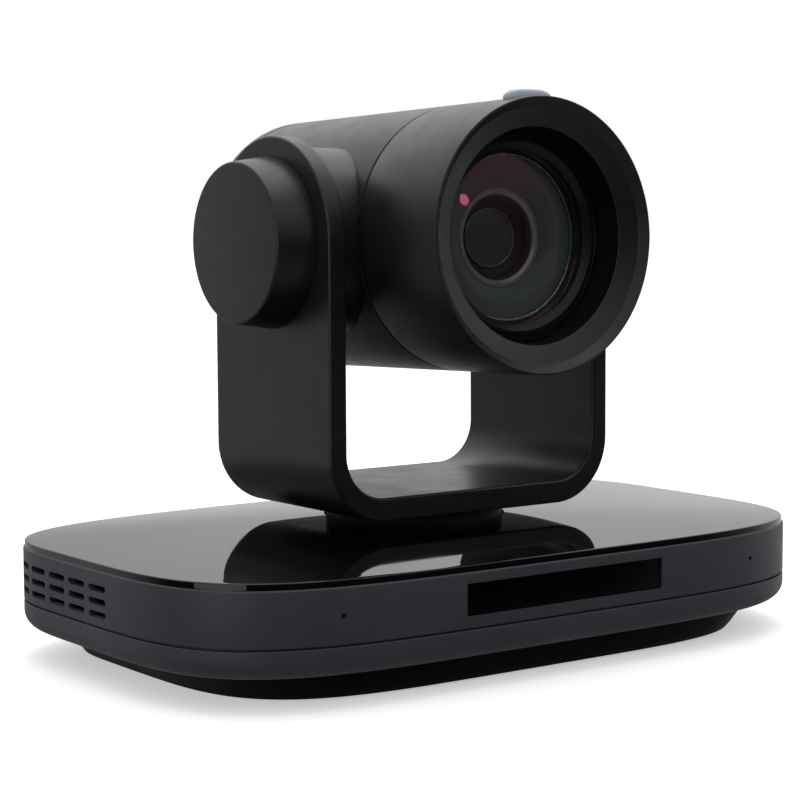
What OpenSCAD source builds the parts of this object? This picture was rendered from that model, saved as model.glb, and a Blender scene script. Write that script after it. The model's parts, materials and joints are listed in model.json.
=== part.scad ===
// Pan-tilt-zoom conference camera: a low base, a U-shaped yoke that pans on it,
// and a barrel head that tilts between the yoke's arms.
// Origin: centre of the base's box, on the surface it stands on. The lens looks along -Y.

/* [Base] */
// Width of the base
base_w = 257.2; // [240:0.2:280]
// Depth of the base from its widest line to the front
front_depth = 100.5; // [92:0.5:108]
// Depth of the base from its widest line to the rear
rear_depth = 59.5; // [54:0.5:66]
// Squareness of the front corners
front_power = 4.6; // [3.5:0.1:5]
// Squareness of the rear corners
rear_power = 3.5; // [3:0.1:4.5]
// Height of the plinth that the shell stands on
plinth_h = 9.5; // [8:0.5:12]
// Height of the seam between the two shells
seam_z = 19.2; // [17:0.1:22]
// Height of the upper band's top edge
band_top = 36.9; // [35:0.1:40]
// Rise of the top plate from its edge to its middle
plate_crown = 4; // [1:0.5:4]
// Wall thickness of the mouldings
wall = 2.4; // [1.8:0.2:3]

/* [Front window and microphones] */
// Width of the infrared window
window_w = 80.6; // [60:0.2:90]
// Height of the infrared window
window_h = 10.2; // [8:0.2:11]
// Height of the window's centre
window_z = 28.3; // [27:0.1:29]
// Distance of each microphone hole from the middle
mic_x = 83.8; // [60:0.2:95]

/* [Cooling slots] */
// Length of one slot
slot_l = 10.6; // [8:0.2:12]
// Distance from one slot to the next along a row
slot_pitch = 13.5; // [12.5:0.1:14]
// Distance from one row to the next
row_pitch = 4.1; // [3.5:0.1:4.5]
// Height of one slot
slot_h = 2; // [1.5:0.1:2.4]

/* [Yoke] */
// Half the width over the arms
arm_out = 58; // [56:0.5:60]
// Thickness of the arms
arm_t = 6.5; // [5:0.5:7]
// Half the depth of the arms and radius of their round tops
arm_r = 34.7; // [32:0.1:36]
// Underside of the yoke above the surface
yoke_z = 46.5; // [46:0.1:48]
// Thickness of the yoke's floor
floor_t = 7.8; // [6:0.2:8]
// Outer corner radius of the yoke
outer_corner = 22; // [18:0.5:24]
// Inner corner radius of the yoke
inner_corner = 15; // [12:0.5:16]
// Distance of the hub caps' faces from the middle
cap_x = 71.8; // [70:0.2:74]

/* [Head] */
// Height of the tilt axis
tilt_h = 136.6; // [135:0.1:140]
// Upward tilt of the lens in the pose that is drawn
lens_up = 1.6; // [0:0.1:5]
// Radius of the barrel and of the bezel's rim
barrel_r = 44; // [42:0.5:45]
// Reach of the rim in front of the tilt axis
head_front = 71.6; // [70:0.2:73]
// Reach of the rear cover behind the tilt axis
head_rear = 66; // [62:0.5:68]
// Radius of the bore around the lens
bore_r = 34.6; // [33:0.1:35]
// Radius of the front glass
glass_r = 28.4; // [26:0.2:30]

/* [Hidden] */
$fn = 96;
eps = 0.01;
plan_sides = 96;
case_grey = [0.17, 0.17, 0.2];
soft_black = [0.05, 0.05, 0.06];
gloss_black = [0.02, 0.02, 0.02];
steel = [0.72, 0.73, 0.75];
brass = [0.78, 0.62, 0.3];

widest_y = (front_depth - rear_depth) / 2;
front_y = widest_y - front_depth;
rear_y = widest_y + rear_depth;
pan_y = 2.4;
lower_z = plinth_h;
seam_gap = 0.6;
lip = 3;
skirt_t = 1.1;
fit_gap = 0.2;
plate_z = band_top + 2.1;
plate_t = 2;
turntable_r = 30.5;
arm_in = arm_out - arm_t;
foot_h = 1.5;
head_y = pan_y;

// gears: module, teeth and the distance between the axes
pan_module = 1;
pan_teeth = 60;
pan_pinion_teeth = 12;
pan_centres = pan_module * (pan_teeth + pan_pinion_teeth) / 2;
pan_gear_z = 31;
pan_gear_h = 3.4;
tilt_module = 0.6;
tilt_teeth = 48;
tilt_pinion_teeth = 12;
tilt_centres = tilt_module * (tilt_teeth + tilt_pinion_teeth) / 2;
gear_x = 46.7;
gear_face = 3.2;

// shafts and their running clearance
pan_shaft_r = 12;
tilt_shaft_r = 7;
rod_r = 1.25;
running = 0.05;

// main board and the sockets along its rear edge
board_z = 19.6;
board_t = 1.6;
board_top = board_z + board_t;
board_front = 25;
board_rear = 70;
panel_y = 73;
panel_t = 1.6;
socket_face = panel_y + panel_t;
dc_x = -58;
serial_x = [-38, -20];
usb_x = 0;
lan_x = 24;
hdmi_x = 51;

// ---- shared shapes ----

function signed_pow(v, p) = sign(v) * pow(abs(v), p);

// Outline of the base: two half superellipses that meet at the widest line.
function plan(inset, grow = 1) = [
    for (i = [0 : plan_sides - 1])
        let (t = 360 * i / plan_sides,
            back = sin(t) > 0,
            depth = (back ? rear_depth : front_depth) - inset,
            power = 2 / (back ? rear_power : front_power))
        [grow * (base_w / 2 - inset) * signed_pow(cos(t), power),
            widest_y * grow + grow * depth * signed_pow(sin(t), power)]
];

module slab(inset, z0, z1) {
    translate([0, 0, z0])
        linear_extrude(z1 - z0)
            polygon(plan(inset));
}

// Skin through closed rings of equal length, lowest ring first.
module skin(rings) {
    n = len(rings[0]);
    last = (len(rings) - 1) * n;
    polyhedron(
        points = [for (ring = rings) for (p = ring) p],
        faces = concat(
            [[for (i = [0 : n - 1]) i]],
            [[for (i = [n - 1 : -1 : 0]) last + i]],
            [for (k = [0 : len(rings) - 2]) for (i = [0 : n - 1])
                [k * n + i, (k + 1) * n + i, (k + 1) * n + (i + 1) % n]],
            [for (k = [0 : len(rings) - 2]) for (i = [0 : n - 1])
                [k * n + i, (k + 1) * n + (i + 1) % n, k * n + (i + 1) % n]]));
}

function raised(outline, z) = [for (p = outline) [p[0], p[1], z]];

// Domed plan: a flat underside at z0, an upright edge to z1, then a crown.
module dome(inset, z0, z1, crown) {
    steps = 7;
    skin(concat(
        [raised(plan(inset), z0), raised(plan(inset), z1)],
        [for (k = [1 : steps])
            let (grow = 1 - k / (steps + 1))
            raised(plan(inset, grow), z1 + crown * (1 - grow * grow))]));
}

module tube(r_out, r_in, h) {
    difference() {
        cylinder(r = r_out, h = h);
        translate([0, 0, -1])
            cylinder(r = r_in, h = h + 2);
    }
}

// Child's +Z points out of the lens, with z = 0 at the tilt axis.
module along_lens() {
    translate([0, head_y, tilt_h])
        rotate([90 - lens_up, 0, 0])
            children();
}

// Child's +Z points along the tilt axis: side 1 to the right, -1 to the left.
module along_tilt(side) {
    translate([0, head_y, tilt_h])
        rotate([-lens_up, 0, 0])
            rotate([0, 90 * side, 0])
                children();
}

// The tilt motor's axis: +Z points left along it, away from the head.
module along_tilt_motor() {
    along_tilt(-1)
        translate([0, tilt_centres, 0])
            children();
}

module at_pan(z = 0) {
    translate([0, pan_y, z])
        children();
}

module at_corners(x, y, centre_y) {
    for (sx = [-1, 1]) {
        for (sy = [-1, 1]) {
            translate([sx * x, centre_y + sy * y, 0])
                children();
        }
    }
}

// Involute spur gear. The first tooth points along +X; slack thins each tooth.
function involute(base_r, a) = base_r * [cos(a) + a * PI / 180 * sin(a), sin(a) - a * PI / 180 * cos(a)];

function turned(p, a) = [p[0] * cos(a) - p[1] * sin(a), p[0] * sin(a) + p[1] * cos(a)];

function gear_tooth(m, teeth, slack) =
    let (pitch_r = m * teeth / 2,
        base_r = pitch_r * cos(25),
        tip_r = pitch_r + 0.8 * m,
        root_r = pitch_r - 1.1 * m,
        start_r = max(base_r, root_r + 0.1 * m),
        roll_pitch = tan(25) * 180 / PI,
        half = 90 / teeth - slack / pitch_r * 90 / PI + roll_pitch - 25,
        flank = [for (k = [0 : 3])
            let (r = start_r + (tip_r - start_r) * k / 3,
                roll = sqrt(pow(r / base_r, 2) - 1) * 180 / PI)
            turned(involute(base_r, roll), -half)],
        root = flank[0] * root_r / start_r)
    concat([root], flank, [for (k = [3 : -1 : 0]) [flank[k][0], -flank[k][1]]], [[root[0], -root[1]]]);

module gear(m, teeth, h, slack = 0.12) {
    tooth = gear_tooth(m, teeth, slack);
    linear_extrude(h)
        polygon([for (i = [0 : teeth - 1]) for (p = tooth) turned(p, 360 * i / teeth)]);
}

// ---- base ----

foot_x = 78;
foot_dy = 38;
foot_y = 0;

module foot_pads() {
    color(soft_black)
        at_corners(foot_x, foot_dy, foot_y)
            cylinder(r = 8, h = foot_h + 0.6);
}

// Bevelled tray below the shells, cut in further at the sides than at the front and rear.
plinth_side = 20;
plinth_front = 12;
plinth_rear = 9;
plinth_bevel = 1.4;
plinth_flare = 9.5;
plinth_lean = 2.5;

function plinth_ring(side, front, rear, z) = [
    for (i = [0 : plan_sides - 1])
        let (t = 360 * i / plan_sides,
            back = sin(t) > 0,
            depth = back ? rear_depth - rear : front_depth - front,
            power = 2 / (back ? rear_power : front_power))
        [(base_w / 2 - side) * signed_pow(cos(t), power),
            widest_y + depth * signed_pow(sin(t), power), z]
];

bracket_x = 35;
bracket_y = 35;
insert_r = 5;
insert_bore = 2.65;
insert_h = 8;

module plinth() {
    color(gloss_black)
        difference() {
            skin([plinth_ring(plinth_side, plinth_front, plinth_rear, foot_h - 1),
                plinth_ring(plinth_side - plinth_bevel, plinth_front - plinth_bevel,
                    plinth_rear - plinth_bevel / 2, foot_h + 1),
                plinth_ring(plinth_side - plinth_flare, plinth_front - plinth_lean,
                    plinth_rear - plinth_lean, lower_z)]);
            at_corners(foot_x, foot_dy, foot_y)
                translate([0, 0, -1])
                    cylinder(r = 8, h = foot_h + 1.6);
            translate([0, 0, -1])
                cylinder(r = insert_r, h = 20);
            at_corners(bracket_x, bracket_y, 0)
                translate([0, 0, -1])
                    cylinder(r = 1.7, h = 8);
            at_corners(base_screw_x, base_screw_y, base_screw_cy)
                screw_hole();
        }
}

module tripod_insert() {
    color(brass)
        difference() {
            translate([0, 0, foot_h - 1])
                cylinder(r = insert_r, h = insert_h);
            translate([0, 0, -1])
                cylinder(r = insert_bore, h = insert_h + 4);
        }
}

base_screw_x = 96;
base_screw_y = 30;
base_screw_cy = 6;

module screw_hole() {
    translate([0, 0, -1])
        cylinder(r = 3.2, h = 5);
    translate([0, 0, -1])
        cylinder(r = 1.6, h = 20);
}

module base_screws() {
    color(steel)
        at_corners(base_screw_x, base_screw_y, base_screw_cy) {
            difference() {
                translate([0, 0, 2])
                    cylinder(r = 3, h = 2);
                translate([0, 0, 1])
                    cylinder(r = 1.3, h = 2, $fn = 6);
            }
            translate([0, 0, 4 - eps])
                cylinder(r = 1.5, h = 12);
        }
}

// Tray with a rounded lower edge and a lip that the band slides over.
module lower_shell() {
    color(case_grey)
        difference() {
            union() {
                difference() {
                    skin([raised(plan(5.6), lower_z), raised(plan(3), lower_z + 0.9),
                        raised(plan(1.3), lower_z + 2.2), raised(plan(0.35), lower_z + 4),
                        raised(plan(0), lower_z + 6.2), raised(plan(0), seam_z - seam_gap / 2)]);
                    slab(wall, lower_z + wall, seam_z + 5);
                }
                difference() {
                    slab(skirt_t + 0.1, seam_z - 2, seam_z + lip);
                    slab(wall, seam_z - 3, seam_z + lip + 1);
                }
                at_corners(base_screw_x, base_screw_y, base_screw_cy)
                    translate([0, 0, lower_z + wall - eps])
                        cylinder(r = 4, h = 8);
                at_corners(deck_screw_x, deck_screw_y, deck_cy)
                    translate([0, 0, lower_z + wall - eps])
                        cylinder(r = 4, h = deck_z - lower_z - wall + eps);
                at_corners(76, 18, (board_front + board_rear) / 2)
                    translate([0, 0, lower_z + wall - eps])
                        cylinder(r = 3, h = board_z - lower_z - wall + eps);
            }
            at_corners(base_screw_x, base_screw_y, base_screw_cy)
                translate([0, 0, lower_z - 1])
                    cylinder(r = 1.5, h = 9);
        }
}

// Band around the base: window, microphone holes, cooling slots and the rear opening.
slot_count = 5;
slot_start = -12.5;
slot_z = 27.3;
panel_w = 138;

module cooling_slots(side) {
    for (row = [-1 : 1]) {
        for (i = [0 : slot_count - 1]) {
            translate([side * base_w / 2 - 12, slot_start + i * slot_pitch,
                slot_z + row * row_pitch - slot_h / 2])
                cube([24, slot_l, slot_h]);
        }
    }
}

module upper_band() {
    color(case_grey)
        difference() {
            union() {
                difference() {
                    slab(0, seam_z + seam_gap / 2, band_top);
                    slab(wall, seam_z - 1, band_top + 1);
                }
                difference() {
                    slab(wall - eps, band_top - 2, band_top - 0.5);
                    slab(wall + 3, band_top - 3, band_top + 1);
                }
            }
            slab(skirt_t, seam_z - 1, seam_z + lip + fit_gap);
            translate([-window_w / 2, front_y - 2, window_z - window_h / 2])
                cube([window_w, 8, window_h]);
            for (side = [-1, 1]) {
                translate([side * mic_x, front_y - 2, window_z - 0.2])
                    rotate([-90, 0, 0])
                        cylinder(r = 0.8, h = 14);
            }
            cooling_slots(-1);
            cooling_slots(1);
            translate([-panel_w / 2, rear_y - 8, seam_z + lip])
                cube([panel_w, 12, 12.6]);
        }
}

module top_plate() {
    color(gloss_black)
        difference() {
            dome(0.5, band_top, plate_z, plate_crown);
            dome(0.5 + plate_t, band_top - 1, plate_z - plate_t, plate_crown);
            at_pan(band_top - 2)
                cylinder(r = turntable_r + 0.7, h = 12);
        }
}

module ir_window() {
    color([0.03, 0.02, 0.03])
        union() {
            translate([-window_w / 2 + 0.1, front_y + 0.7, window_z - window_h / 2 + 0.1])
                cube([window_w - 0.2, 2.4, window_h - 0.2]);
            translate([-window_w / 2 - 2, front_y + 3, window_z - window_h / 2 - 0.8])
                cube([window_w + 4, 1.2, window_h + 1.6]);
        }
}

module ir_receiver() {
    color(soft_black)
        union() {
            translate([18, front_y + 6, window_z - 3.5])
                cube([6, 4, 7]);
            translate([21, front_y + 6, window_z + 0.8])
                sphere(r = 1.7, $fn = 32);
            translate([12, front_y + 10 - eps, window_z - 4])
                cube([18, 1.2, 8]);
        }
}

module status_leds() {
    color([0.3, 0.6, 0.3])
        for (i = [0 : 2]) {
            translate([-24 + i * 6, front_y + 5, window_z])
                rotate([-90, 0, 0])
                    cylinder(r = 1.5, h = 4, $fn = 32);
        }
}

module mic_capsules() {
    color(steel)
        for (side = [-1, 1]) {
            translate([side * mic_x, front_y + 7.6, window_z - 0.2])
                rotate([-90, 0, 0])
                    cylinder(r = 3, h = 3.2);
        }
}

module main_board() {
    color([0.05, 0.25, 0.14])
        difference() {
            translate([-88, board_front, board_z])
                cube([176, board_rear - board_front, board_t]);
            at_corners(76, 18, (board_front + board_rear) / 2)
                translate([0, 0, board_z - 1])
                    cylinder(r = 1.6, h = 4);
        }
}

module board_chips() {
    color(soft_black) {
        translate([-72, 32, board_top])
            cube([22, 22, 2]);
        translate([-14, 40, board_top])
            cube([12, 8, 1.2]);
        translate([36, 34, board_top])
            cube([14, 14, 1.4]);
        translate([58, 34, board_top])
            cube([10, 7, 1.2]);
    }
}

module heat_sink() {
    color([0.6, 0.62, 0.64])
        union() {
            translate([-76, 28, board_top + 2])
                cube([30, 28, 2]);
            for (i = [0 : 7]) {
                translate([-76 + i * 4, 28, board_top + 4 - eps])
                    cube([1.4, 28, 7]);
            }
        }
}

module rear_panel() {
    z0 = seam_z + lip + 0.6;
    color(soft_black)
        difference() {
            translate([-panel_w / 2 - 3, panel_y, z0])
                cube([panel_w + 6, panel_t, band_top - 2.1 - z0]);
            translate([dc_x - 4.7, panel_y - 1, 0])
                cube([9.4, 4, board_top + 11.1]);
            for (x = serial_x) {
                translate([x - 7.2, panel_y - 1, 0])
                    cube([14.4, 4, board_top + 13]);
            }
            translate([usb_x - 6.6, panel_y - 1, 0])
                cube([13.2, 4, board_top + 10.7]);
            translate([lan_x - 8.3, panel_y - 1, 0])
                cube([16.6, 4, board_top + 13.3]);
            translate([hdmi_x - 7.9, panel_y - 1, 0])
                cube([15.8, 4, board_top + 6.2]);
        }
}

// A socket body that opens to the rear, with its mouth and its tongue or pin.
module socket(x, w, h, deep, mouth_w, mouth_h, mouth_z, cavity) {
    difference() {
        translate([x - w / 2, socket_face - deep, board_top])
            cube([w, deep, h]);
        translate([x - mouth_w / 2, socket_face - cavity, board_top + mouth_z])
            cube([mouth_w, cavity + 1, mouth_h]);
    }
}

module dc_jack() {
    color(soft_black)
        difference() {
            translate([dc_x - 4.5, socket_face - 14, board_top])
                cube([9, 14, 10.9]);
            translate([dc_x, socket_face + 1, board_top + 6])
                rotate([90, 0, 0])
                    tube(3.1, 1, 10);
        }
}

module lan_jack() {
    color(steel)
        socket(lan_x, 16, 13, 21, 11.8, 8.6, 1.4, 13);
}

module usb_socket() {
    color(steel)
        union() {
            socket(usb_x, 12.8, 10.4, 18, 9.4, 8.6, 0.9, 9);
            translate([usb_x - 2.8, socket_face - 9 - eps, board_top + 3.6])
                cube([5.6, 7.4, 3]);
        }
}

module hdmi_socket() {
    color(steel)
        union() {
            socket(hdmi_x, 15.2, 6, 12, 14, 4.6, 0.7, 9);
            translate([hdmi_x - 5.8, socket_face - 9 - eps, board_top + 2.9])
                cube([11.6, 7.6, 0.9]);
        }
}

module serial_sockets() {
    color(soft_black)
        for (x = serial_x) {
            difference() {
                translate([x - 7, socket_face - 13, board_top])
                    cube([14, 13, 12.8]);
                translate([x, socket_face + 1, board_top + 6.6])
                    rotate([90, 0, 0])
                        tube(4.7, 2.2, 7.5);
            }
        }
}

// Steel plate on four posts that carries the pan bearing and the pan motor.
deck_z = 22.4;
deck_t = 1.8;
deck_screw_x = 44;
deck_screw_y = 28;
deck_cy = -16;
motor_y = pan_y - pan_centres;
race_out = 19;
race_in = 12;

module deck_plate() {
    color(steel)
        difference() {
            translate([-50, deck_cy - 36, deck_z])
                cube([100, 72, deck_t]);
            at_pan(deck_z - 1)
                cylinder(r = 15, h = 4);
            translate([0, motor_y, deck_z - 1])
                cylinder(r = 4, h = 4);
            at_corners(deck_screw_x, deck_screw_y, deck_cy)
                translate([0, 0, deck_z - 1])
                    cylinder(r = 1.6, h = 4);
        }
}

module pan_bearing() {
    color([0.8, 0.8, 0.82])
        at_pan(deck_z + deck_t)
            rotate_extrude()
                polygon([[race_in + running, 0.6], [race_in + running, 6], [race_out, 6], [race_out + 3, 1.6],
                    [race_out + 3, 0], [15, 0], [15, 0.6]]);
}

module pan_motor() {
    color([0.35, 0.36, 0.38])
        translate([0, motor_y, 0])
            difference() {
                union() {
                    translate([0, 0, lower_z + wall])
                        cylinder(r = 14, h = deck_z - lower_z - wall);
                    translate([0, 0, deck_z - eps])
                        cylinder(r = 3.9, h = deck_t + 1.2);
                }
                translate([0, 0, deck_z - 2])
                    cylinder(r = 1.5 + running, h = 8);
            }
}

module pan_pinion() {
    color([0.9, 0.9, 0.86])
        translate([0, motor_y, 0])
            rotate([0, 0, 90 + 180 / pan_pinion_teeth])
                union() {
                    translate([0, 0, pan_gear_z])
                        gear(pan_module, pan_pinion_teeth, pan_gear_h);
                    translate([0, 0, pan_gear_z - 3])
                        cylinder(r = 3.4, h = 3 + eps);
                    translate([0, 0, deck_z - 1])
                        cylinder(r = 1.5, h = pan_gear_z - deck_z);
                }
}

// ---- yoke ----

// Square with two round lower corners, standing on z = 0.
module rounded_foot(half_w, r, h) {
    union() {
        translate([-half_w, r])
            square([2 * half_w, h - r]);
        translate([-half_w + r, 0])
            square([2 * (half_w - r), h]);
        for (side = [-1, 1]) {
            translate([side * (half_w - r), r])
                circle(r = r);
        }
    }
}

module arm_side() {
    union() {
        translate([-arm_r, yoke_z])
            square([2 * arm_r, tilt_h - yoke_z]);
        translate([0, tilt_h])
            circle(r = arm_r);
    }
}

module yoke_frame() {
    color(case_grey)
        difference() {
            intersection() {
                translate([0, pan_y + arm_r, yoke_z])
                    rotate([90, 0, 0])
                        linear_extrude(2 * arm_r)
                            difference() {
                                rounded_foot(arm_out, outer_corner, 150);
                                translate([0, floor_t])
                                    rounded_foot(arm_in, inner_corner, 160);
                            }
                translate([-arm_out - 1, pan_y, 0])
                    rotate([90, 0, 90])
                        linear_extrude(2 * arm_out + 2)
                            arm_side();
            }
            for (side = [-1, 1]) {
                along_tilt(side)
                    translate([0, 0, arm_in - 1])
                        cylinder(r = 10, h = arm_t + 2);
            }
            at_pan(yoke_z - 1)
                cylinder(r = 6, h = 5);
        }
}

module turntable() {
    color(soft_black)
        at_pan(0)
            difference() {
                union() {
                    translate([0, 0, 41])
                        cylinder(r = turntable_r, h = yoke_z - 41);
                    translate([0, 0, pan_gear_z + pan_gear_h])
                        cylinder(r = 18, h = 41 - pan_gear_z - pan_gear_h + eps);
                }
                translate([0, 0, 20])
                    cylinder(r = pan_shaft_r + running, h = 30);
            }
}

module pan_shaft() {
    color(steel)
        at_pan(18)
            tube(pan_shaft_r, 7, yoke_z - 18);
}

module pan_gear() {
    color([0.92, 0.92, 0.88])
        at_pan(pan_gear_z)
            difference() {
                rotate([0, 0, 90])
                    gear(pan_module, pan_teeth, pan_gear_h);
                translate([0, 0, -1])
                    cylinder(r = pan_shaft_r + running, h = 6);
                for (i = [0 : 5]) {
                    rotate([0, 0, i * 60])
                        translate([22.5, 0, -1])
                            cylinder(r = 3.6, h = 6);
                }
            }
}

module pan_nut() {
    color(steel)
        at_pan(18.4)
            difference() {
                cylinder(r = 15.5, h = 3, $fn = 6);
                translate([0, 0, -1])
                    cylinder(r = pan_shaft_r + running, h = 5);
            }
}

cap_base_r = 28.2;
cap_face_r = 26.2;
cap_edge = 0.8;

module hub_cap(side) {
    color(case_grey)
        along_tilt(side)
            rotate_extrude()
                polygon([[0, cap_x], [cap_face_r - cap_edge, cap_x],
                    [cap_face_r - 0.25, cap_x - 0.25], [cap_face_r, cap_x - cap_edge],
                    [cap_base_r, arm_out], [cap_base_r - wall, arm_out],
                    [cap_face_r - wall, cap_x - wall], [0, cap_x - wall]]);
}

module hub_cap_left() {
    hub_cap(-1);
}

module hub_cap_right() {
    hub_cap(1);
}

module tilt_bush(side) {
    color(brass)
        along_tilt(side)
            rotate_extrude()
                polygon([[tilt_shaft_r + running, arm_in], [10, arm_in], [10, arm_out],
                    [13, arm_out], [13, arm_out + 1.5], [tilt_shaft_r + running, arm_out + 1.5]]);
}

module tilt_bush_left() {
    tilt_bush(-1);
}

module tilt_bush_right() {
    tilt_bush(1);
}

module tilt_gear() {
    color([0.92, 0.92, 0.88])
        along_tilt(-1)
            rotate([0, 0, 90])
                difference() {
                    union() {
                        translate([0, 0, gear_x])
                            gear(tilt_module, tilt_teeth, gear_face);
                        translate([0, 0, gear_x + gear_face - eps])
                            cylinder(r = 12.5, h = arm_in - gear_x - gear_face + eps);
                    }
                    translate([0, 0, 40])
                        cylinder(r = tilt_shaft_r + 0.5, h = 20);
                }
}

// ---- head ----

bezel_back = 30.6;
skin_in = barrel_r - wall;
boss_r = 31;
boss_x = 50.8;
recess_r = 28;
recess_x = 45.6;
motor_x = 39.6;

module barrel_shell() {
    color(case_grey)
        difference() {
            along_lens()
                rotate_extrude()
                    polygon([[skin_in, -head_rear + 6.5], [barrel_r, -head_rear + 6.5],
                        [barrel_r, bezel_back - 0.6], [skin_in - 0.1, bezel_back - 0.6],
                        [skin_in - 0.1, bezel_back + 3], [skin_in - 1.6, bezel_back + 3],
                        [skin_in - 1.6, bezel_back - 4], [skin_in, bezel_back - 4]]);
            for (side = [-1, 1]) {
                along_tilt(side)
                    translate([0, 0, 30])
                        cylinder(r = tilt_shaft_r + running, h = 20);
            }
            along_tilt_motor()
                translate([0, 0, 20])
                    cylinder(r = 2.2, h = 40);
        }
}

module front_bezel() {
    color(case_grey)
        along_lens()
            difference() {
                rotate_extrude()
                    polygon([[barrel_r, bezel_back], [barrel_r, head_front - 0.4],
                        [barrel_r - 0.4, head_front], [barrel_r - 3.1, head_front - 2.5],
                        [bore_r, head_front - 4.9], [bore_r, 44], [bore_r + 1.8, 44],
                        [bore_r + 1.8, head_front - 7.2], [skin_in, head_front - 5],
                        [skin_in, bezel_back]]);
                translate([-tally_w / 2 - running, tally_seat - running, tally_at - tally_d / 2 - running])
                    cube([tally_w + 2 * running, 10, tally_d + 2 * running]);
            }
}

module rear_cover() {
    r = 6;
    color(case_grey)
        along_lens()
            rotate_extrude()
                polygon(concat(
                    [[0, -head_rear], [barrel_r - r, -head_rear]],
                    [for (a = [15 : 15 : 75])
                        [barrel_r - r + r * sin(a), -head_rear + r - r * cos(a)]],
                    [[barrel_r, -head_rear + r], [skin_in - 0.1, -head_rear + r],
                        [skin_in - 0.1, -head_rear + r + 3], [skin_in - 1.7, -head_rear + r + 3],
                        [skin_in - 1.7, -head_rear + r], [barrel_r - r, -head_rear + wall],
                        [0, -head_rear + wall]]));
}

module side_boss(side) {
    color(case_grey)
        difference() {
            along_tilt(side)
                difference() {
                    translate([0, 0, 20])
                        cylinder(r = boss_r, h = boss_x - 20);
                    translate([0, 0, recess_x])
                        cylinder(r = recess_r, h = 20);
                    cylinder(r = tilt_shaft_r + running, h = 60);
                }
            along_lens()
                translate([0, 0, -60])
                    cylinder(r = barrel_r + running, h = 120);
            if (side < 0) {
                along_tilt_motor()
                    translate([0, 0, 20])
                        cylinder(r = 2.2, h = 40);
            }
        }
}

module side_boss_left() {
    side_boss(-1);
}

module side_boss_right() {
    side_boss(1);
}

module tilt_shaft(side) {
    color(steel)
        along_tilt(side)
            rotate_extrude()
                polygon([[4.5, 37.6], [8.8, 37.6], [8.8, 39.6], [tilt_shaft_r, 39.6],
                    [tilt_shaft_r, 60.4], [tilt_shaft_r - 0.8, 60.4], [tilt_shaft_r - 0.8, 61.6],
                    [tilt_shaft_r, 61.6], [tilt_shaft_r, 64], [4.5, 64]]);
}

module tilt_shaft_left() {
    tilt_shaft(-1);
}

module tilt_shaft_right() {
    tilt_shaft(1);
}

module shaft_rings() {
    color([0.5, 0.5, 0.52])
        for (side = [-1, 1]) {
            along_tilt(side)
                translate([0, 0, 60.5])
                    tube(10, tilt_shaft_r - 0.8, 1);
        }
}

// Two plates and two rails that hold the optics; the rods run between the plates.
plate_half = 22;
front_plate = 38;
rear_plate = -36;
rod_at = 17.5;

module lens_frame() {
    color([0.2, 0.2, 0.21])
        along_lens()
            difference() {
                union() {
                    translate([-plate_half, -plate_half, front_plate - 3])
                        cube([2 * plate_half, 2 * plate_half, 3]);
                    translate([-plate_half, -plate_half, rear_plate])
                        cube([2 * plate_half, 2 * plate_half, 3]);
                    for (side = [-1, 1]) {
                        translate([-plate_half, side * (plate_half - 1.5) - 1.5, rear_plate])
                            cube([2 * plate_half, 3, front_plate - rear_plate]);
                    }
                }
                translate([0, 0, front_plate - 4])
                    cylinder(r = 14, h = 6);
                translate([0, 0, rear_plate - 1])
                    cylinder(r = 8, h = 6);
                for (side = [-1, 1]) {
                    translate([side * rod_at, 0, rear_plate - 1])
                        cylinder(r = rod_r, h = 90);
                }
            }
}

module guide_rods() {
    color(steel)
        along_lens()
            for (side = [-1, 1]) {
                translate([side * rod_at, 0, rear_plate])
                    cylinder(r = rod_r, h = front_plate - rear_plate);
            }
}

module lens_tube() {
    color(soft_black)
        along_lens()
            rotate_extrude()
                polygon([[third_r - 0.8, front_plate], [34.2, front_plate], [34.2, 53.8],
                    [glass_r + running, 53.8], [glass_r + running, 50.2], [26.5, 50.2], [26.5, 49],
                    [30.5, 49], [30.5, 41], [11.5, 41], [third_r + 1.2, 40.2], [third_r + running, 40.2],
                    [third_r + running, 39], [third_r - 0.8, 39]]);
}

module front_retainer() {
    color(soft_black)
        along_lens()
            rotate_extrude()
                polygon([[glass_r - 0.4, 54.4], [glass_r - 0.4, 57.4], [glass_r + 1.6, 58.4],
                    [34.2, 58.4], [34.2, 53.8], [glass_r + running, 53.8], [glass_r + running, 54.4]]);
}

// Round lens with domed faces: bulges are heights of the front and rear domes.
module lens_element(r, edge_back, edge_front, bulge_back, bulge_front) {
    steps = 8;
    rotate_extrude()
        polygon(concat(
            [for (k = [0 : steps - 1])
                [r * k / steps, edge_front + bulge_front * (1 - pow(k / steps, 2))]],
            [[r, edge_front], [r, edge_back]],
            [for (k = [steps - 1 : -1 : 0])
                [r * k / steps, edge_back - bulge_back * (1 - pow(k / steps, 2))]]));
}

module front_glass() {
    color([0.35, 0.5, 0.5, 0.5])
        along_lens()
            lens_element(glass_r, 50.3, 54.2, -1.6, 3.4);
}

// Funnel between the front glass and the second glass.
second_r = 15.4;
third_r = 8.2;

module baffle_ring() {
    color(soft_black)
        along_lens()
            rotate_extrude()
                polygon([[20.8, 48.8], [second_r + 0.3, 45.8], [second_r + running, 45.8],
                    [second_r + running, 42.5], [12.8, 42.5], [12.8, 41], [30.3, 41], [30.3, 48.8]]);
}

module second_retainer() {
    color([0.3, 0.27, 0.29])
        along_lens()
            rotate_extrude()
                polygon([[13.4, 44.5], [second_r, 44.5], [second_r, 45.9], [14.2, 45.9], [13.4, 45.3]]);
}

module second_glass() {
    color([0.4, 0.55, 0.5, 0.5])
        along_lens()
            lens_element(second_r, 42.6, 44, -0.5, 1.6);
}

module third_glass() {
    color([0.5, 0.45, 0.4, 0.5])
        along_lens()
            lens_element(third_r, 39.1, 40.1, -0.4, 1.2);
}

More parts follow.
